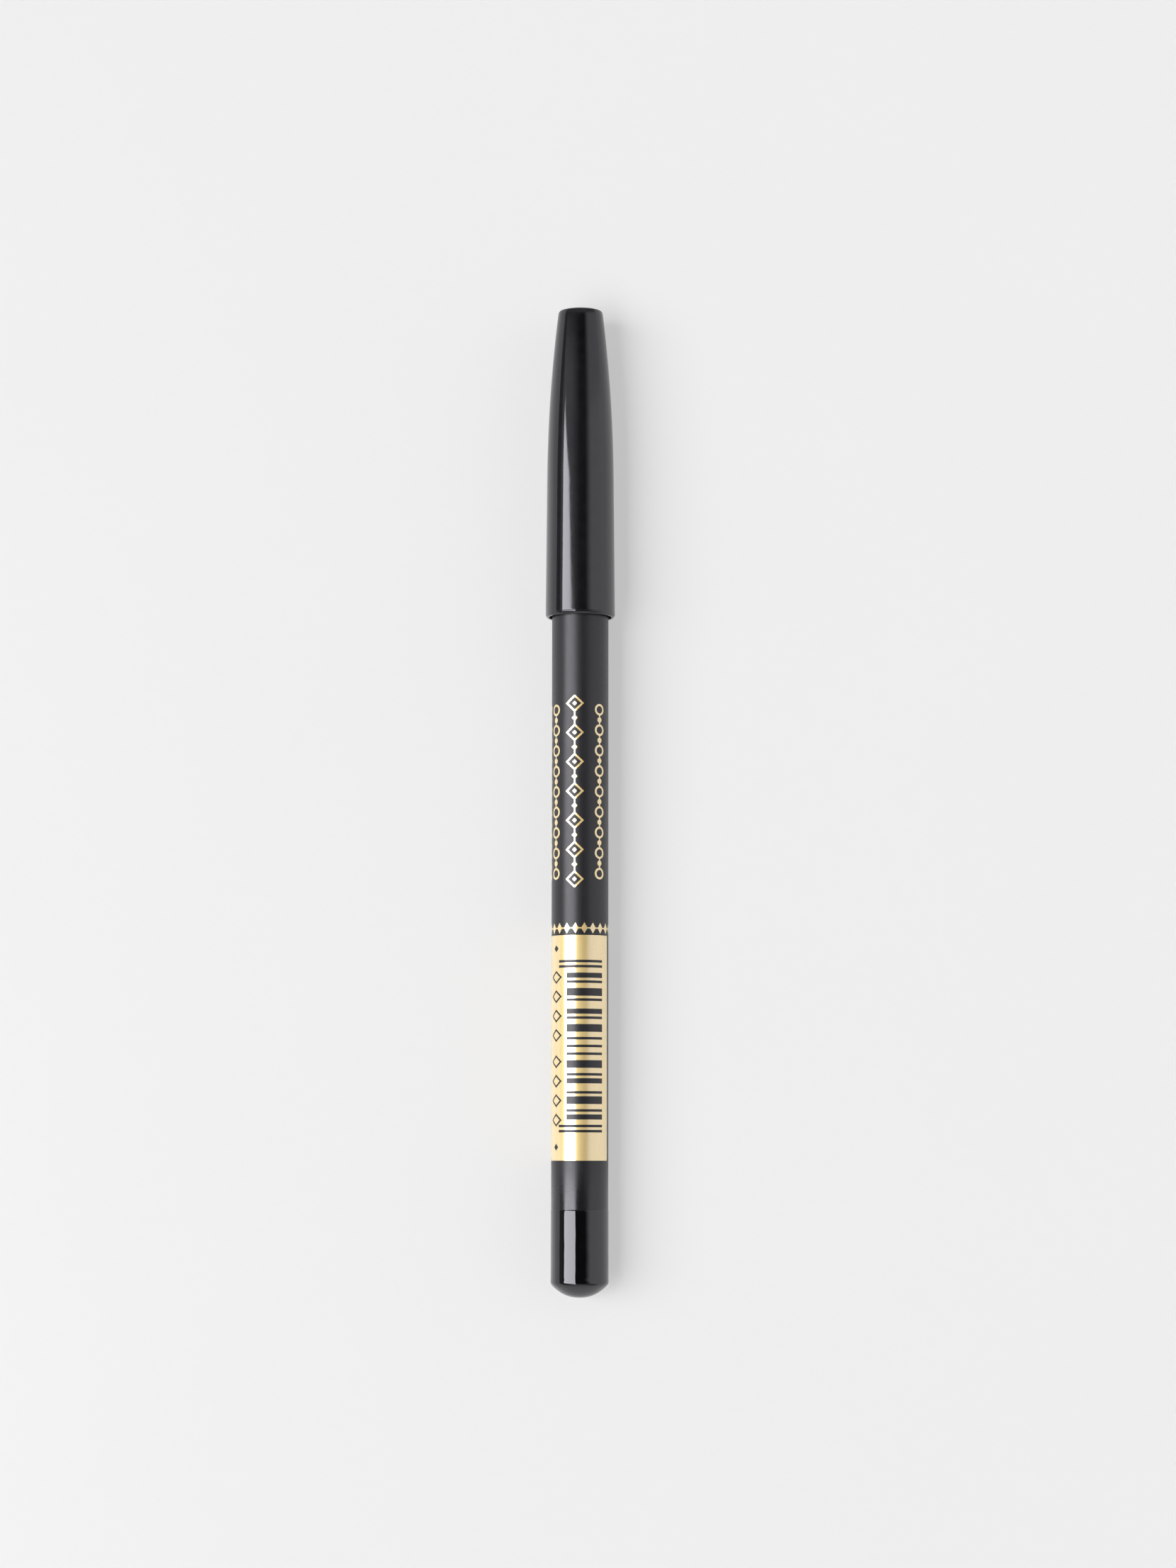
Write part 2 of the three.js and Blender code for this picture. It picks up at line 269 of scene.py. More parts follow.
def smooth_step(low, high, value):
    """From 0 to 1 as a value goes from low to high."""
    share = min(max((value - low) / (high - low), 0), 1)
    return share * share * (3 - 2 * share)


def ripple(angle, y, length):
    """Smooth unevenness from -1 to 1 on the barrel's surface, with bumps about this long."""
    point = Vector((math.sin(angle), y / BARREL_RADIUS, math.cos(angle)))
    return noise.noise(point * (BARREL_RADIUS / length))


def even_angles(count):
    return [2 * math.pi * i / count for i in range(count)]


# Mesh helpers

def finish_mesh(name, bm):
    """An object from a bmesh in mm about the axis, shaded smooth apart from its sharp edges."""
    bmesh.ops.remove_doubles(bm, verts=bm.verts, dist=WELD_DISTANCE)
    bmesh.ops.recalc_face_normals(bm, faces=bm.faces)
    bmesh.ops.scale(bm, vec=(MM, MM, MM), verts=bm.verts)
    mesh = bpy.data.meshes.new(name)
    bm.to_mesh(mesh)
    bm.free()
    mesh.shade_smooth()
    mesh.set_sharp_from_angle(angle=SHARP_ANGLE)
    piece = bpy.data.objects.new(name, mesh)
    piece.location = PLACE
    bpy.context.scene.collection.objects.link(piece)
    return piece


def revolve(profile, angles, move=None, closed=False):
    """A bmesh of revolution about the axis. The profile is a list of (radius, y) that starts and ends
    on the axis, or closes on itself. move(i, angle, radius, y) may shift the points of ring i."""
    bm = bmesh.new()
    rings = []
    for i, (radius, y) in enumerate(profile):
        if radius == 0:
            rings.append([bm.verts.new((0, y, 0))])
            continue
        verts = []
        for angle in angles:
            r, along = move(i, angle, radius, y) if move else (radius, y)
            verts.append(bm.verts.new((r * math.sin(angle), along, r * math.cos(angle))))
        rings.append(verts)
    pairs = list(zip(rings, rings[1:]))
    if closed:
        pairs.append((rings[-1], rings[0]))
    for lower, upper in pairs:
        for i in range(len(angles)):
            j = (i + 1) % len(angles)
            corners = [lower[i % len(lower)], lower[j % len(lower)]]
            corners += [upper[j % len(upper)], upper[i % len(upper)]]
            bm.faces.new(list(dict.fromkeys(corners)))
    return bm


def steps(low, high, count):
    """Evenly spaced values from low to high, both included."""
    return [low + (high - low) * i / count for i in range(count + 1)]


def bend(start, corner, end, count):
    """Points on a smooth curve from start to end that is drawn towards a corner."""
    points = []
    for share in steps(0, 1, count):
        weights = ((1 - share) ** 2, 2 * share * (1 - share), share**2)
        pulls = list(zip(weights, (start, corner, end)))
        points.append(tuple(sum(weight * point[i] for weight, point in pulls) for i in (0, 1)))
    return points


# Nodes and materials

class Nodes:
    """A node tree whose nodes are added by short calls."""

    def __init__(self, tree):
        self.tree = tree

    def add(self, kind, inputs=None, **settings):
        node = self.tree.nodes.new(kind)
        for name, value in settings.items():
            setattr(node, name, value)
        for socket, value in (inputs or {}).items():
            self.set(node.inputs[socket], value)
        return node

    def set(self, socket, value):
        if isinstance(value, bpy.types.NodeSocket):
            self.tree.links.new(value, socket)
        else:
            socket.default_value = value

    def math(self, operation, first, second=0.0):
        return self.add("ShaderNodeMath", {0: first, 1: second}, operation=operation).outputs[0]

    def spread(self, value, low, high, from_low=0.3, from_high=0.7, blend="LINEAR"):
        """A value such as a noise's, spread between low and high."""
        inputs = {"Value": value, "From Min": from_low, "From Max": from_high}
        inputs |= {"To Min": low, "To Max": high}
        return self.add("ShaderNodeMapRange", inputs, interpolation_type=blend).outputs["Result"]


class Material(Nodes):
    """A Principled material, with places that are the piece's own, in metres."""

    def __init__(self, name, **sockets):
        self.material = bpy.data.materials.new(name)
        self.material.use_nodes = True
        super().__init__(self.material.node_tree)
        self.shader = self.tree.nodes["Principled BSDF"]
        self.link(**sockets)
        self.place = self.add("ShaderNodeTexCoord").outputs["Object"]

    def link(self, **sockets):
        """Give the shader's sockets a value, or the output of a node."""
        for socket, value in sockets.items():
            self.set(self.shader.inputs[socket.replace("_", " ")], value)

    def noise(self, size, detail=3, stretch=1, roughness=0.5):
        """Noise whose bumps are about size mm across, and stretch times as long along the axis."""
        across = 1 / (size * MM)
        scaled = self.add(
            "ShaderNodeVectorMath",
            {0: self.place, 1: (across, across / stretch, across)},
            operation="MULTIPLY",
        )
        texture = self.add(
            "ShaderNodeTexNoise",
            {"Vector": scaled.outputs[0], "Scale": 1, "Detail": detail, "Roughness": roughness},
        )
        return texture.outputs["Fac"]

    def ramp(self, value, *stops):
        """Colours by a value, from (position, colour) stops."""
        node = self.add("ShaderNodeValToRGB", {"Fac": value})
        elements = node.color_ramp.elements
        while len(elements) < len(stops):
            elements.new(0.5)
        for element, (position, color) in zip(elements, stops):
            element.position = position
            element.color = (*color, 1)
        return node.outputs["Color"]

    def along(self):
        """The place along the axis, in mm from the butt."""
        y = self.add("ShaderNodeSeparateXYZ", {"Vector": self.place}).outputs["Y"]
        return self.math("DIVIDE", y, MM)

    def rings(self, turn):
        """Fine rings round the axis, from a sine that turns by this many radians in a mm."""
        return self.math("SINE", self.math("MULTIPLY", self.along(), turn))

    def bump(self, height, depth):
        """Bumps of a height from 0 to 1, depth mm deep, on top of any that are there."""
        node = self.add("ShaderNodeBump", {"Height": height, "Distance": depth * MM, "Strength": 1})
        normal = self.shader.inputs["Normal"]
        if normal.links:
            self.tree.links.new(normal.links[0].from_socket, node.inputs["Normal"])
        self.tree.links.new(node.outputs["Normal"], normal)


def cap_plastic():
    """Glossy black moulded plastic with faint handling marks along the cap."""
    m = Material("cap_plastic", IOR=1.69, Specular_Tint=BLACK_TINT)
    tone = m.noise(1.2)
    m.link(Base_Color=m.ramp(tone, (0.35, (0.003, 0.003, 0.004)), (0.7, (0.006, 0.006, 0.008))))
    scuffs = m.spread(m.noise(0.12, detail=4, stretch=14), 0.0, 0.05, 0.5, 0.75)
    m.link(Roughness=m.math("ADD", m.spread(m.noise(2.5), 0.05, 0.08), scuffs))
    m.bump(m.noise(0.3, detail=4, stretch=5), 0.0008)
    return m.material


def satin_lacquer():
    """Satin black lacquer over wood, with a fine orange peel and a glossier stretch next to the dip."""
    m = Material("satin_lacquer", IOR=1.61, Specular_Tint=BLACK_TINT)
    grain = m.noise(0.35, detail=4, stretch=25)
    m.link(Base_Color=m.ramp(grain, (0.3, (0.007, 0.007, 0.008)), (0.75, (0.012, 0.012, 0.013))))
    more_gloss = -0.19
    stretch_start = DIP_END + 0.2
    near_dip = m.spread(m.along(), more_gloss, 0.0, stretch_start, PANEL_START, "SMOOTHSTEP")
    m.link(Roughness=m.math("ADD", m.spread(m.noise(0.5, detail=4), 0.36, 0.42), near_dip))
    m.bump(grain, 0.002)
    m.bump(m.noise(0.16, detail=3), 0.0016)
    return m.material


def gloss_lacquer():
    """Deep black lacquer with a wet gloss."""
    m = Material("gloss_lacquer", IOR=1.72, Specular_Tint=BLACK_TINT)
    tone = m.noise(1.5)
    m.link(Base_Color=m.ramp(tone, (0.3, (0.001, 0.001, 0.0013)), (0.7, (0.002, 0.0019, 0.0024))))
    m.link(Roughness=m.spread(m.noise(0.8, detail=4), 0.02, 0.045))
    m.bump(m.noise(0.9, detail=2), 0.0008)
    return m.material


def gold_foil():
    """Hot-stamped gold foil: hazy metal under a bright film, with the lacquer's grain in it."""
    m = Material("gold_foil", Metallic=1, Coat_Weight=1, Coat_Roughness=0.14, Coat_IOR=3)
    tone = m.noise(0.6, detail=5, stretch=6)
    m.link(Base_Color=m.ramp(tone, (0.3, (0.97, 0.76, 0.36)), (0.7, (0.99, 0.79, 0.39))))
    m.link(Roughness=m.spread(m.noise(0.12, detail=2), 0.54, 0.7, 0.4, 0.6))
    m.bump(m.noise(0.35, detail=4, stretch=25), 0.002)
    m.bump(m.noise(0.16, detail=3), 0.0005)
    return m.material


def cedar_wood():
    """Bare cedar with grain along the barrel and fine rings that the sharpener leaves."""
    m = Material("cedar_wood", IOR=1.45)
    grain = m.noise(0.5, detail=6, stretch=18, roughness=0.65)
    m.link(Base_Color=m.ramp(
        grain,
        (0.28, (0.33, 0.165, 0.085)),
        (0.5, (0.52, 0.30, 0.17)),
        (0.72, (0.66, 0.43, 0.27)),
    ))
    m.link(Roughness=m.spread(grain, 0.72, 0.55))
    m.bump(grain, 0.02)
    m.bump(m.rings(turn=45), 0.004)
    return m.material


def kohl_wax():
    """Soft black wax, dull where it is rubbed and with a low sheen where it is freshly cut."""
    m = Material("kohl_wax", IOR=1.45)
    rub = m.noise(0.5, detail=5, stretch=4)
    m.link(Base_Color=m.ramp(rub, (0.3, (0.006, 0.006, 0.007)), (0.75, (0.02, 0.02, 0.022))))
    m.link(Roughness=m.spread(rub, 0.38, 0.6))
    m.bump(m.rings(turn=38), 0.004)
    m.bump(m.noise(0.18, detail=4), 0.012)
    return m.material


def wood_glue():
    """Dried glue in the seam between the slats."""
    m = Material("wood_glue", IOR=1.48)
    tone = m.noise(0.3, detail=4, stretch=5)
    m.link(Base_Color=m.ramp(tone, (0.3, (0.36, 0.25, 0.12)), (0.7, (0.52, 0.40, 0.22))))
    m.link(Roughness=m.spread(tone, 0.35, 0.6))
    m.bump(tone, 0.01)
    return m.material


def floor_paper():
    """Pale studio paper with a low sheen. It keeps the shadow, and glows a little where it is seen."""
    m = Material("floor_paper", Roughness=0.32, IOR=2.0)
    shade = tuple(value * FLOOR_SHADE for value in FLOOR_COLOR)
    m.link(Base_Color=m.ramp(m.noise(30, detail=2), (0.3, shade), (0.7, FLOOR_COLOR)))
    path = m.add("ShaderNodeLightPath").outputs
    seen = m.math("MAXIMUM", path["Is Camera Ray"], path["Is Glossy Ray"])
    seen = m.math("MAXIMUM", seen, path["Is Transmission Ray"])
    glow = m.add("ShaderNodeEmission", {"Color": (BACKGROUND, BACKGROUND, BACKGROUND, 1)})
    blend = m.add("ShaderNodeMixShader", {
        "Fac": m.math("MULTIPLY", seen, FLOOR_GLOW),
        1: m.shader.outputs["BSDF"],
        2: glow.outputs["Emission"],
    })
    m.tree.links.new(blend.outputs["Shader"], m.tree.nodes["Material Output"].inputs["Surface"])
    return m.material


# Cap

def cap_outer(distance):
    """Outside radius of the cap at a distance from its mouth: a straight skirt, then a bent nose."""
    taper = (CAP_RADIUS - CAP_SEAT_RADIUS) / (CAP_ENGAGEMENT - LIP_HEIGHT)
    nose = CAP_LENGTH - CAP_ENGAGEMENT
    curve = (CAP_SEAT_RADIUS - CAP_END_RADIUS - taper * nose) / nose**2
    past = max(distance - CAP_ENGAGEMENT, 0)
    return CAP_RADIUS - taper * (distance - LIP_HEIGHT) - curve * past**2


def cap_inner(distance):
    """Inside radius of the cap between its ribs."""
    if distance < CAP_ENGAGEMENT:
        share = distance / CAP_ENGAGEMENT
        wall = CAP_MOUTH_WALL + (CAP_SEAT_WALL - CAP_MOUTH_WALL) * share
    else:
        share = (distance - CAP_ENGAGEMENT) / (CAP_CAVITY - CAP_ENGAGEMENT)
        wall = CAP_SEAT_WALL + (CAP_NOSE_WALL - CAP_SEAT_WALL) * share
    return cap_outer(distance) - wall


def rib_edge(distance):
    """Radius of a rib's inner edge, which follows the barrel and then the sharpened cone."""
    ramp = 1 - smooth_step(RIB_START, RIB_START + RIB_LEAD_IN, distance)
    slope = max(distance - CAP_ENGAGEMENT, 0) * CONE_TANGENT
    return BARREL_RADIUS + RIB_CLEARANCE + ramp - slope


def rib_offset(angle):
    """Angle from the middle of the nearest rib."""
    turns = even_angles(RIB_COUNT)
    return min(abs((angle - turn + math.pi) % (2 * math.pi) - math.pi) for turn in turns)


def cap_angles():
    """Angles round the cap, with those of each rib's sides and feet added."""
    angles = set(even_angles(AROUND))
    for turn in even_angles(RIB_COUNT):
        for side in (-RIB_FOOT, -1, 1, RIB_FOOT):
            angles.add((turn + side * RIB_HALF_ANGLE) % (2 * math.pi))
    return sorted(angles)


def cap_end_profile():
    """The flat end with the small mark that the moulding gate leaves in its middle."""
    gate = [(radius, CAP_LENGTH + depth) for radius, depth in GATE_MARK]
    edge = [
        (
            CAP_END_RADIUS - CAP_END_ROUNDING * (1 - math.sin(turn)),
            CAP_LENGTH - CAP_END_ROUNDING * (1 - math.cos(turn)),
        )
        for turn in steps(0, CAP_EDGE_TURN, CAP_EDGE_STEPS)
    ]
    return gate + edge


def cap_side_profile():
    """The nose and the skirt, down to the fine line above the lip."""
    edge = CAP_LENGTH - CAP_EDGE_HEIGHT
    distances = steps(edge, CAP_ENGAGEMENT, NOSE_STEPS)
    distances += steps(CAP_ENGAGEMENT, LIP_LINE + LIP_LINE_MARGIN, SKIRT_STEPS)[1:]
    return [(cap_outer(distance), distance) for distance in distances]


def cap_lip_profile():
    """The skirt's end: a fine line round it, a rounded lip and a shallow widening of the bore."""
    line = [
        (cap_outer(LIP_LINE) - depth * LIP_LINE_DEPTH, LIP_LINE + offset * LIP_LINE_HALF_WIDTH)
        for offset, depth in LIP_LINE_SECTION
    ]
    rim = (CAP_RADIUS - LIP_THICKNESS, LIP_END)
    lip = bend((CAP_RADIUS, LIP_HEIGHT), (CAP_RADIUS, LIP_BEND), rim, LIP_STEPS)
    wide = cap_inner(0) + MOUTH_LEDGE
    mouth = [(wide + MOUTH_EDGE, LIP_END), (wide, LIP_END + MOUTH_EDGE), (wide, MOUTH_DEPTH)]
    return line + lip + mouth + [(cap_inner(MOUTH_DEPTH), MOUTH_DEPTH + MOUTH_LEDGE)]


def cap_bore_profile():
    """The hollow, from the start of the ribs to its closed end."""
    lead_end = RIB_START + RIB_LEAD_IN
    distances = steps(RIB_START, lead_end, RIB_LEAD_STEPS)
    distances += steps(lead_end, CAP_CAVITY, BORE_STEPS)[1:]
    return [(cap_inner(distance), distance) for distance in distances] + [(0, CAP_CAVITY)]


def build_cap():
    """The cap as one moulding, with ribs in its hollow."""
    outside = cap_end_profile() + cap_side_profile() + cap_lip_profile()

    def move(i, angle, radius, distance):
        if i >= len(outside):
            if rib_offset(angle) <= RIB_HALF_ANGLE * RIB_TOLERANCE:
                radius = min(radius, rib_edge(distance))
        elif radius > CAP_END_RADIUS:
            radius += CAP_RIPPLE * ripple(angle, distance, CAP_RIPPLE_LENGTH)
        return radius, distance

    bm = revolve(outside + cap_bore_profile(), cap_angles(), move)
    bmesh.ops.translate(bm, vec=(0, CAP_MOUTH, 0), verts=bm.verts)
    return finish_mesh("cap_moulding", bm)


# Barrel

def build_lacquer():
    """The lacquer's skin, with a wavy edge where the sharpener cut it."""
    inner = WOOD_RADIUS + SKIN_OVERLAP
    feather = SHOULDER + (BARREL_RADIUS - inner) / CONE_TANGENT
    outside = [(BARREL_RADIUS, y) for y in steps(SKIN_START, SHOULDER, SKIN_STEPS)]
    profile = [(inner, SKIN_START)] + outside + [(inner, feather)]
    edge_rings = (len(profile) - 2, len(profile) - 1)

    def move(i, angle, radius, y):
        if i in edge_rings:
            y += EDGE_WAVE * ripple(angle, y, EDGE_WAVE_LENGTH)
        return radius, y

    return finish_mesh("satin_barrel_skin", revolve(profile, even_angles(AROUND), move, closed=True))


def dip_side_radius(y):
    """Outside radius of the dip's sleeve, thickest in a bead next to the dome."""
    share = (y - DIP_SIDE) / (DIP_END - DIP_SIDE)
    bead = DIP_BEAD * math.exp(-(((y - DIP_BEAD_Y) / DIP_BEAD_WIDTH) ** 2))
    return DIP_RADIUS - DIP_BEAD - DIP_TAPER * share + bead


def dome_y(radius):
    """Place of the dip's domed outside at a radius."""
    return DOME_RISE * (radius / DIP_RADIUS) ** DOME_POWER


def dip_outside():
    """Profile of the dip from its dome's lowest point, over the rounded edge, to its meniscus."""
    rim = DIP_RADIUS - DOME_FILLET
    dome = [(radius, dome_y(radius)) for radius in steps(0, rim, DOME_STEPS)]
    side = dip_side_radius(DIP_SIDE)
    slope = DOME_POWER * dome_y(rim) / rim
    corner = (side, dome_y(rim) + slope * (side - rim))
    fillet = bend(dome[-1], corner, (side, DIP_SIDE), FILLET_STEPS)[1:]
    bead_end = DIP_BEAD_Y + DIP_BEAD_REACH * DIP_BEAD_WIDTH
    places = steps(DIP_SIDE, bead_end, BEAD_STEPS)[1:]
    places += steps(places[-1], DIP_END - MENISCUS, SLEEVE_STEPS)[1:]
    sleeve = [(dip_side_radius(y), y) for y in places]
    drop = sleeve[-1][0] - BARREL_RADIUS
    meniscus = [
        (
            BARREL_RADIUS - SKIN_OVERLAP + (drop + SKIN_OVERLAP) * math.cos(turn),
            DIP_END - MENISCUS * (1 - math.sin(turn)),
        )
        for turn in steps(0, math.pi / 2, MENISCUS_STEPS)[1:]
    ]
    return dome + fillet + sleeve + meniscus


def build_dip():
    """The dip as a cup over the butt, with slight ripples and a wavy rim."""
    outside = dip_outside()
    inner = BARREL_RADIUS - SKIN_OVERLAP
    cup = [(radius, butt_y(radius) + SKIN_OVERLAP) for radius in steps(WOOD_RADIUS, 0, CUP_STEPS)]
    profile = outside + [(inner, SKIN_START), (WOOD_RADIUS + SKIN_OVERLAP, SKIN_START)] + cup

    def move(i, angle, radius, y):
        if i < len(outside):
            radius += DIP_RIPPLE * smooth_step(*DIP_RIPPLE_FADE, y) * ripple(angle, y, DIP_RIPPLE_LENGTH)
            near_rim = smooth_step(DIP_END - RIM_WAVE_REACH, DIP_END, y)
            y += RIM_WAVE * near_rim * ripple(angle, 0, RIM_WAVE_LENGTH)
        return radius, y

    return finish_mesh("gloss_butt_dip", revolve(profile, even_angles(AROUND), move))


def butt_y(radius):
    """Place of the wood's domed butt end at a radius."""
    height = BUTT_HEIGHT - DOME_SHELL
    sphere = (WOOD_RADIUS**2 + height**2) / (2 * height)
    return DOME_SHELL + sphere - math.sqrt(sphere**2 - radius**2)


def cone_y(radius):
    """Place of the sharpened cone at a radius."""
    return CONE_APEX - radius / CONE_TANGENT


def cut_ridge(angle, y, ridges):
    """Height of the ridges that the sharpener leaves. They are given by how far they are drawn out round
    the cone, how closely they follow each other along it, and their length before that."""
    around, along, length = ridges
    return RIDGE_HEIGHT * ripple(angle * around, y * along, length)


def build_slat(name, side):
    """Half of the wood casing, above the seam for side 1 and below it for side -1."""
    groove = CORE_RADIUS + GROOVE_GAP
    butt = [(radius, butt_y(radius)) for radius in steps(groove, WOOD_RADIUS, BUTT_STEPS)]
    barrel = [(WOOD_RADIUS, y) for y in steps(BUTT_HEIGHT, cone_y(WOOD_RADIUS), SLAT_STEPS)[1:-1]]
    cone = [(radius, cone_y(radius)) for radius in steps(WOOD_RADIUS, groove, WOOD_CONE_STEPS)]
    profile = butt + barrel + cone
    cone_start = len(butt) + len(barrel)

    def move(i, angle, radius, y):
        if cone_start < i < len(profile) - 1:
            radius += cut_ridge(angle, y, WOOD_RIDGES)
        return radius, y

    bm = revolve(profile, even_angles(AROUND), move, closed=True)
    everything = bm.verts[:] + bm.edges[:] + bm.faces[:]
    bmesh.ops.bisect_plane(
        bm,
        geom=everything,
        plane_co=(0, 0, side * SEAM_HALF),
        plane_no=(0, 0, side),
        clear_inner=True,
    )
    cut = [edge for edge in bm.edges if edge.is_boundary]
    bmesh.ops.triangle_fill(bm, edges=cut, use_beauty=True)
    return finish_mesh(name, bm)


def core_tip():
    """The rounded point, which is lower than half a ball."""
    return [
        (
            POINT_RADIUS * math.cos(turn),
            POINT_END - POINT_RADIUS * (1 - math.sin(turn)) * TIP_FLATNESS,
        )
        for turn in steps(*TIP_TURNS, TIP_STEPS)
    ]


def build_core():
    """The core as a rod, sharpened to a rounded point."""
    dome = [(radius, butt_y(radius)) for radius in steps(0, CORE_RADIUS, CORE_BUTT_STEPS)]
    rod = [(CORE_RADIUS, y) for y in steps(dome[-1][1], cone_y(CORE_RADIUS), ROD_STEPS)[1:]]
    cone = [(radius, cone_y(radius)) for radius in steps(CORE_RADIUS, POINT_RADIUS, CORE_CONE_STEPS)[1:]]
    tip = core_tip()
    cone = [point for point in cone if point[1] < tip[0][1]]
    profile = dome + rod + cone + tip + [(0, POINT_END)]
    cone_start = len(dome) + len(rod)

    def move(i, angle, radius, y):
        if i >= cone_start:
            radius += cut_ridge(angle, y, CORE_RIDGES)
        return radius, y

    return finish_mesh("kohl_point", revolve(profile, even_angles(CORE_AROUND), move))


# Foil, drawn flat as outlines of (across, along) and wrapped onto the barrel

def arc(angle):
    """Distance round the barrel from its top, for an angle in degrees."""
    return math.radians(angle) * BARREL_RADIUS


def rectangle(left, right, low, high):
    return [(left, low), (right, low), (right, high), (left, high)]


def lozenge(width, length, across, along):
    return [
        (across + width / 2, along),
        (across, along + length / 2),
        (across - width / 2, along),
        (across, along - length / 2),
    ]


def thicken(sheet, height):
    """Close a flat sheet into a solid, with a raised copy of its faces and walls along its open edges.
    Ends that meet under the barrel get no wall, because they are welded to each other."""
    faces = sheet.faces[:]
    seam = arc(180) - FOIL_SNAP
    rims = []
    for edge in sheet.edges:
        at_seam = all(abs(vert.co.x) > seam for vert in edge.verts)
        if edge.is_boundary and not at_seam:
            rims.append(edge.verts[:])
    raised = {}
    for vert in sheet.verts[:]:
        raised[vert] = sheet.verts.new((vert.co.x, vert.co.y, height))
    for face in faces:
        sheet.faces.new([raised[vert] for vert in face.verts])
    for start, end in rims:
        sheet.faces.new((start, end, raised[end], raised[start]))


def build_foil(name, groups):
    """Thin foil on the barrel. Each group is an outline, followed by the holes in it."""
    flat = bmesh.new()
    for outlines in groups:
        edges = []
        for outline in outlines:
            verts = [flat.verts.new((*point, 0)) for point in outline]
            edges += [flat.edges.new(pair) for pair in zip(verts, verts[1:] + verts[:1])]
        bmesh.ops.triangle_fill(flat, edges=edges, use_beauty=True)
    reach = max(abs(vert.co.x) for vert in flat.verts)
    for i in range(math.ceil(2 * reach / FOIL_STEP)):
        everything = flat.verts[:] + flat.edges[:] + flat.faces[:]
        cut = (i * FOIL_STEP - reach, 0, 0)
        bmesh.ops.bisect_plane(flat, geom=everything, dist=FOIL_SNAP, plane_co=cut, plane_no=(1, 0, 0))
    thicken(flat, FOIL_SUNK + FOIL_PROUD)
    for vert in flat.verts:
        radius = BARREL_RADIUS - FOIL_SUNK + vert.co.z
        angle = vert.co.x / BARREL_RADIUS
        vert.co = (radius * math.sin(angle), vert.co.y, radius * math.cos(angle))
    return finish_mesh(name, flat)


def bar_outlines():
    """The stack of bars that are left bare in the panel, with longer ones at both ends."""
    stack = HALF_STACK + HALF_STACK[-2::-1]
    y = PANEL_END - PANEL_MARGIN_ABOVE
    bars = []
    for i, modules in enumerate(stack):
        at_end = min(i, len(stack) - 1 - i) < 2 * LONG_BARS
        left = LONG_BAR_ANGLE if at_end else BAR_ANGLES[0]
        width = modules * BAR_MODULE
        if i % 2 == 0:
            bars.append(rectangle(arc(left), arc(BAR_ANGLES[1]), y - width, y))
        y -= width
    return bars


def inset(width, length, stroke):
    """Width and length of the opening in an open lozenge."""
    share = 1 - 2 * stroke / min(width, length)
    return width * share, length * share


def mark_places():
    """Places of the open lozenges beside the bars, in two groups."""
    places = []
    for i in range(MARK_COUNT):
        gap = MARK_GROUP_GAP if i >= MARK_COUNT / 2 else 0
        places.append(PANEL_END - MARK_MARGIN - MARK_PITCH * i - gap)
    return places


def build_panel():
    """A sheet with bare bars, bare open lozenges beside them and a small bare lozenge near each end."""
    sheet = rectangle(arc(PANEL_ANGLES[0]), arc(PANEL_ANGLES[1]), PANEL_START, PANEL_END)
    across = arc(MARK_ANGLE)
    marks = [lozenge(MARK_WIDTH, MARK_LENGTH, across, y) for y in mark_places()]
    for y in (PANEL_END - END_MARK_MARGIN, PANEL_START + END_MARK_MARGIN):
        marks.append(lozenge(END_MARK, END_MARK, across, y))
    opening = inset(MARK_WIDTH, MARK_LENGTH, MARK_STROKE)
    islands = [[lozenge(*opening, across, y)] for y in mark_places()]
    return build_foil("gold_bar_panel", [[sheet] + bar_outlines() + marks] + islands)


def build_ring():
    """Lozenges strung on a hoop round the barrel. Its ends meet under the barrel."""
    middle = (RING_START + RING_END) / 2
    hoop = middle + RING_RULE / 2
    pitch = 360 / RING_LOZENGE_COUNT
    half_hoop = RING_LOZENGE_WIDTH / 2 * (1 - RING_RULE / (RING_END - RING_START))
    upper = [(arc(-180), hoop)]
    for i in range(RING_LOZENGE_COUNT):
        across = arc(pitch * (i + 0.5) - 180)
        upper += [(across - half_hoop, hoop), (across, RING_END), (across + half_hoop, hoop)]
    upper.append((arc(180), hoop))
    lower = [(across, 2 * middle - along) for across, along in reversed(upper)]
    return build_foil("gold_lozenge_ring", [[upper + lower]])


def line_places(start, end, count, length):
    """Places along the barrel of a line's evenly spaced motifs, each of this length."""
    return steps(start + length / 2, end - length / 2, count - 1)


def circle(diameter, across, along):
    half = diameter / 2
    turns = even_angles(2 * CIRCLE_STEPS)
    return [(across + half * math.sin(t), along - half * math.cos(t)) for t in turns]


def half_circle(diameter, along):
    """The right half of a circle on a rule, between the places where the rule meets it."""
    start = math.asin(LINE_RULE / diameter)
    turns = steps(start, math.pi - start, CIRCLE_STEPS)
    return [(diameter / 2 * math.sin(t), along - diameter / 2 * math.cos(t)) for t in turns]


def half_lozenge(width, length, along):
    """The right half of a lozenge on a rule, between the places where the rule meets it."""
    rise = length / 2 * (1 - LINE_RULE / width)
    return [(LINE_RULE / 2, along - rise), (width / 2, along), (LINE_RULE / 2, along + rise)]


def between(places):
    return [(low + high) / 2 for low, high in zip(places, places[1:])]


def mirrored(right_side, across):
    """A whole outline from its right side, which runs up the line's middle."""
    left_side = [(-offset, along) for offset, along in reversed(right_side)]
    return [(across + offset, along) for offset, along in right_side + left_side]


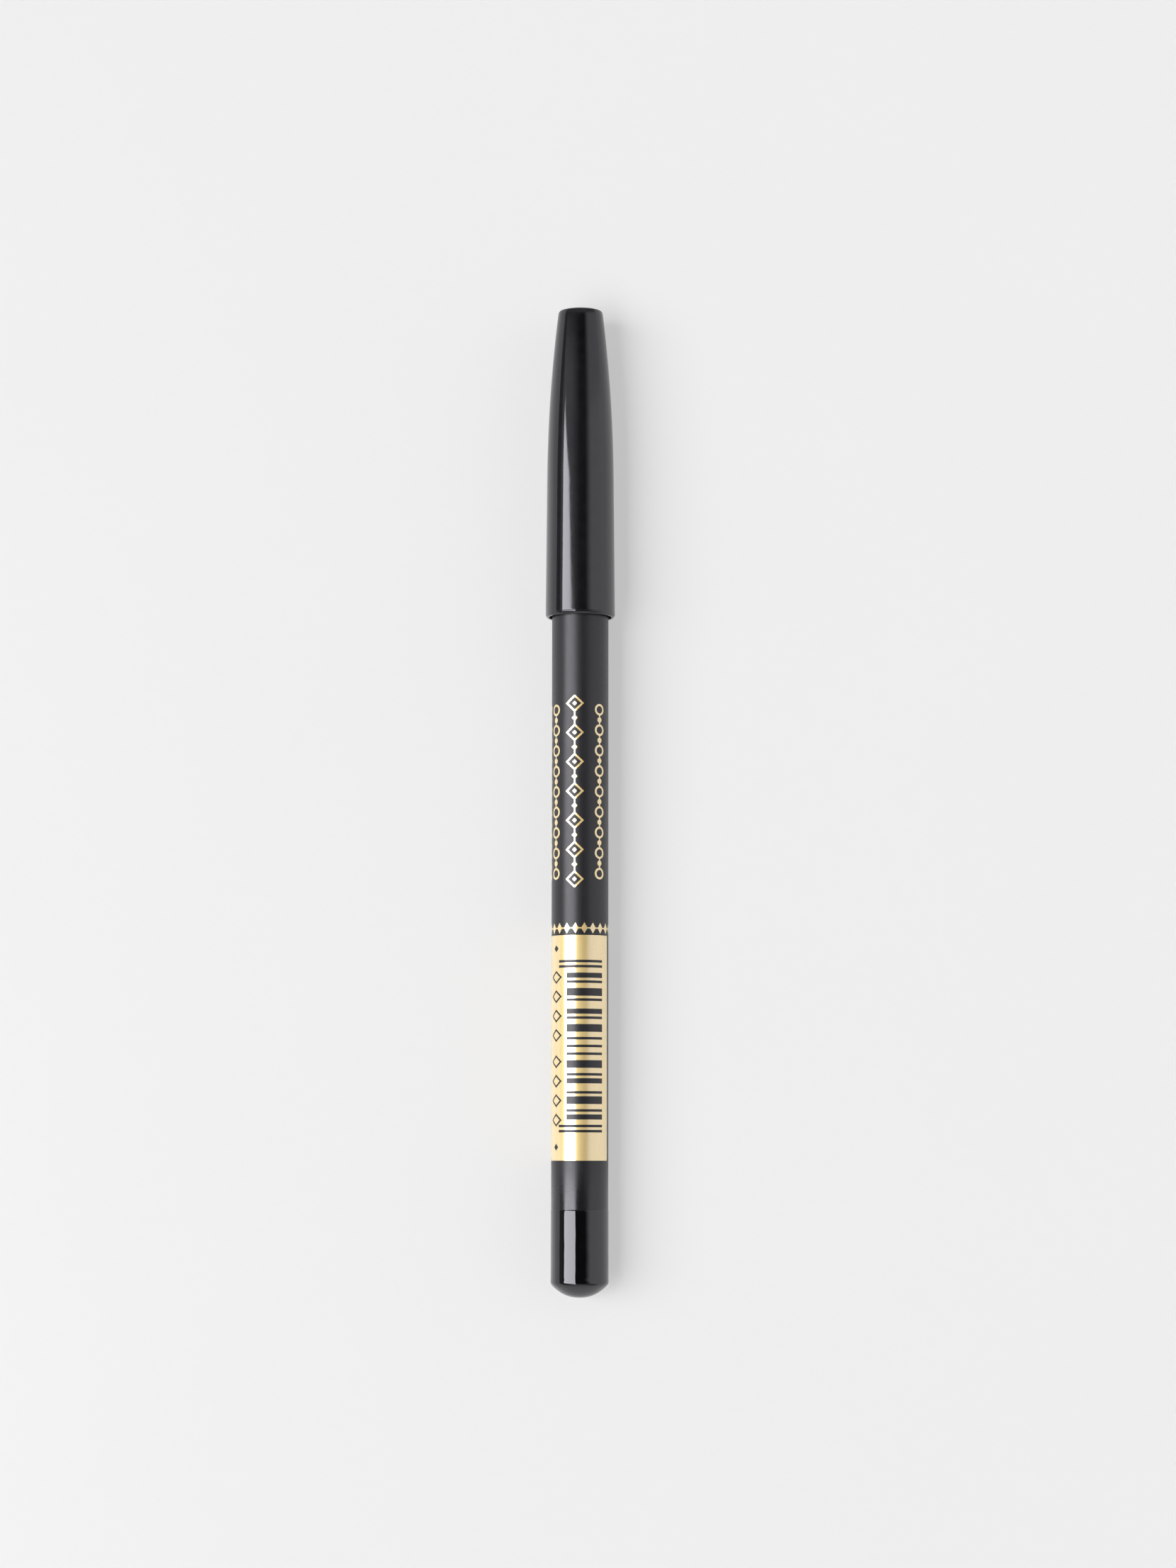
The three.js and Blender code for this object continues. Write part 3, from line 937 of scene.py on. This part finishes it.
def build_chain():
    """Open lozenges strung on a rule, with a small solid one between each two and a gem in each."""
    across = arc(CHAIN_ANGLE)
    centres = line_places(LINE_START, LINE_END, LOZENGE_COUNT, LOZENGE_LENGTH)
    halves = [(y, half_lozenge(LOZENGE_WIDTH, LOZENGE_LENGTH, y)) for y in centres]
    halves += [(y, half_lozenge(SMALL_LOZENGE, SMALL_LOZENGE, y)) for y in between(centres)]
    right_side = [point for y, half in sorted(halves) for point in half]
    opening = inset(LOZENGE_WIDTH, LOZENGE_LENGTH, LOZENGE_STROKE)
    holes = [lozenge(*opening, across, y) for y in centres]
    gems = [[lozenge(GEM_LOZENGE, GEM_LOZENGE, across, y)] for y in centres]
    return build_foil("gold_lozenge_chain", [[mirrored(right_side, across)] + holes] + gems)


def build_circle_line(name, angle):
    """Open circles strung on a rule, with a bead between each two."""
    across = arc(angle)
    centres = line_places(SIDE_LINE_START, SIDE_LINE_END, CIRCLE_COUNT, CIRCLE_DIAMETER)
    halves = [(y, half_circle(CIRCLE_DIAMETER, y)) for y in centres]
    halves += [(y, half_circle(BEAD_DIAMETER, y)) for y in between(centres)]
    right_side = [point for y, half in sorted(halves) for point in half]
    holes = [circle(CIRCLE_DIAMETER - 2 * CIRCLE_STROKE, across, y) for y in centres]
    return build_foil(name, [[mirrored(right_side, across)] + holes])


def build_bead_line():
    """Beads strung on a rule."""
    centres = line_places(SIDE_LINE_START, SIDE_LINE_END, BEAD_COUNT, BEAD_DIAMETER)
    right_side = [point for y in centres for point in half_circle(BEAD_DIAMETER, y)]
    return build_foil("gold_bead_line", [[mirrored(right_side, arc(BEAD_LINE_ANGLE))]])


# Pieces on their bodies

def dress(piece, material, body, slot, *nodes):
    """Give a piece its material and its body, and hide the CAD nodes that it stands for. The slot is not
    used.
    """
    piece.data.materials.append(material)
    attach(piece, body)
    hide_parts(*nodes)


gold = gold_foil()
cedar = cedar_wood()
glue = wood_glue()
dress(build_cap(), cap_plastic(), "cap", "cap_plastic", "cap_shell")
dress(build_lacquer(), satin_lacquer(), "pencil", "satin_lacquer", "lacquer_coat")
dress(build_dip(), gloss_lacquer(), "pencil", "gloss_lacquer", "end_dip")
dress(build_slat("cedar_slat_upper", 1), cedar, "pencil", "cedar_wood", "wood_slat_upper")
dress(build_slat("cedar_slat_lower", -1), cedar, "pencil", "cedar_wood", "wood_slat_lower")
dress(build_core(), kohl_wax(), "pencil", "kohl_wax", "kohl_core")
dress(build_panel(), gold, "pencil", "gold_foil", "foil_bar_panel")
dress(build_ring(), gold, "pencil", "gold_foil", "foil_lozenge_ring")
dress(build_chain(), gold, "pencil", "gold_foil", "foil_lozenge_chain")
for side, angle in (("right", CIRCLE_ANGLE_RIGHT), ("left", CIRCLE_ANGLE_LEFT)):
    line = build_circle_line(f"gold_circle_line_{side}", angle)
    dress(line, gold, "pencil", "gold_foil", f"foil_circle_line_{side}")
dress(build_bead_line(), gold, "pencil", "gold_foil", "foil_bead_line")
for node in ("glue_seam_left", "glue_seam_right"):
    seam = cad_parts[node]
    seam.data.materials.clear()
    seam.data.materials.append(glue)


# Floor, light and camera

def make_floor():
    """A pale floor that touches the cap's lip and the dip, so it leans a little along the pencil."""
    lip_y = CAP_MOUTH + LIP_HEIGHT
    dip_y = DIP_BEAD_Y
    lean = math.atan((CAP_RADIUS - dip_side_radius(dip_y)) / (lip_y - dip_y))
    mesh = bpy.data.meshes.new("floor")
    bm = bmesh.new()
    bmesh.ops.create_grid(bm, x_segments=1, y_segments=1, size=FLOOR_SIDE / 2 * MM)
    bm.to_mesh(mesh)
    bm.free()
    floor = bpy.data.objects.new("floor", mesh)
    floor.location = PLACE + Vector((0, lip_y * MM, -CAP_RADIUS * MM))
    floor.rotation_euler = (-lean, 0, 0)
    bpy.context.scene.collection.objects.link(floor)
    mesh.materials.append(floor_paper())


class Studio(Nodes):
    """The world's light by direction. Across is the angle from overhead towards +X, along is the angle
    from the plane across the pencil towards +Y, and upward is the angle from the horizon."""

    def __init__(self):
        world = bpy.data.worlds.new("studio")
        bpy.context.scene.world = world
        world.use_nodes = True
        super().__init__(world.node_tree)
        direction = self.add("ShaderNodeTexCoord").outputs["Generated"]
        parts = self.add("ShaderNodeSeparateXYZ", {"Vector": direction}).outputs
        self.across = self.degrees(self.math("ARCTAN2", parts["X"], parts["Z"]))
        self.along = self.degrees(self.math("ARCSINE", parts["Y"]))
        self.upward = self.degrees(self.math("ARCSINE", parts["Z"]))

    def degrees(self, angle):
        return self.math("DIVIDE", angle, math.radians(1))

    def step(self, value, start, end):
        """From 0 to 1 as a value goes from start to end."""
        return self.spread(value, 0.0, 1.0, start, end, "SMOOTHSTEP")

    def past(self, value, edge=0):
        """From 0 to 1 as a value goes past a slightly soft edge."""
        return self.step(value, edge - EDGE_SOFTNESS, edge + EDGE_SOFTNESS)

    def blend(self, share, first, second):
        inputs = {"Factor": share, "A": first, "B": second}
        return self.add("ShaderNodeMix", inputs, data_type="FLOAT").outputs["Result"]

    def softbox(self):
        """Where the softbox is, and its radiance. Its top is a level with a slope and a curve."""
        inner, outer = SOFTBOX_ACROSS
        reach = self.math("SUBTRACT", inner, self.across)
        share = self.math("DIVIDE", reach, inner - outer)
        level, slope, curve = SOFTBOX_TOP
        rise = self.math("ADD", self.math("MULTIPLY", reach, curve), slope)
        top = self.math("ADD", self.math("MULTIPLY", reach, rise), level)
        bottom = self.blend(share, *SOFTBOX_BOTTOM)
        leaning = self.math("SUBTRACT", self.across, self.math("MULTIPLY", self.along, SOFTBOX_LEAN))
        above = self.math("SUBTRACT", self.along, bottom)
        below = self.math("SUBTRACT", top, self.along)
        inside = self.past(leaning, outer)
        for distance in (reach, above, below):
            inside = self.math("MULTIPLY", inside, self.past(distance))
        return inside, self.blend(share, *SOFTBOX_RADIANCE)

    def room(self):
        """Radiance of the dim slot overhead, the softbox's halo, both sides and both ends."""
        halo = self.blend(self.step(self.across, *HALO_ACROSS), *HALO_RADIANCE)
        halo = self.math("MULTIPLY", halo, self.blend(self.step(self.along, *HALO_FADE), 1.0, HALO_REST))
        room = self.blend(self.past(self.along, HALO_START), SLOT_RADIANCE, halo)
        room = self.blend(self.step(self.across, *LEFT_ACROSS), LEFT_RADIANCE, room)
        lean = self.math("MINIMUM", self.math("MULTIPLY", self.along, WALL_LEAN), WALL_LEAN_MOST)
        wall = self.blend(self.step(self.along, *WALL_FADE), *WALL_RADIANCE)
        room = self.blend(self.step(self.math("ADD", self.across, lean), *WALL_ACROSS), room, wall)
        away = self.math("ABSOLUTE", self.along)
        ends = self.blend(self.step(away, *HORIZON_ALONG), END_RADIANCE, HORIZON_RADIANCE)
        return self.blend(self.step(away, *END_ALONG), room, ends)


def make_light():
    """Soft studio light, with a pale backdrop round the horizon."""
    studio = Studio()
    inside, radiance = studio.softbox()
    light = studio.blend(inside, studio.room(), radiance)
    light = studio.blend(studio.step(studio.upward, *BACKDROP_TOP), BACKGROUND, light)
    studio.set(studio.tree.nodes["Background"].inputs["Color"], light)


def make_camera():
    """The photograph's view, from above the butt and leaning towards the cap."""
    target = Vector(CAMERA_TARGET) * MM
    data = bpy.data.cameras.new("camera")
    data.sensor_width = SENSOR_LONG_SIDE
    data.lens = CAMERA_LENS
    data.clip_start = CAMERA_CLIP_START * MM
    camera = bpy.data.objects.new("camera", data)
    camera.location = Vector((CAMERA_TARGET[0] * MM, CAMERA_FOOT_Y * MM, target.z + CAMERA_HEIGHT * MM))
    aim = (target - camera.location).to_track_quat("-Z", "Y")
    roll = Quaternion((0, 0, 1), math.radians(CAMERA_ROLL))
    camera.rotation_euler = (aim @ roll).to_euler()
    bpy.context.scene.collection.objects.link(camera)
    bpy.context.scene.camera = camera


make_floor()
make_light()
make_camera()
bpy.context.scene.view_settings.view_transform = "Standard"
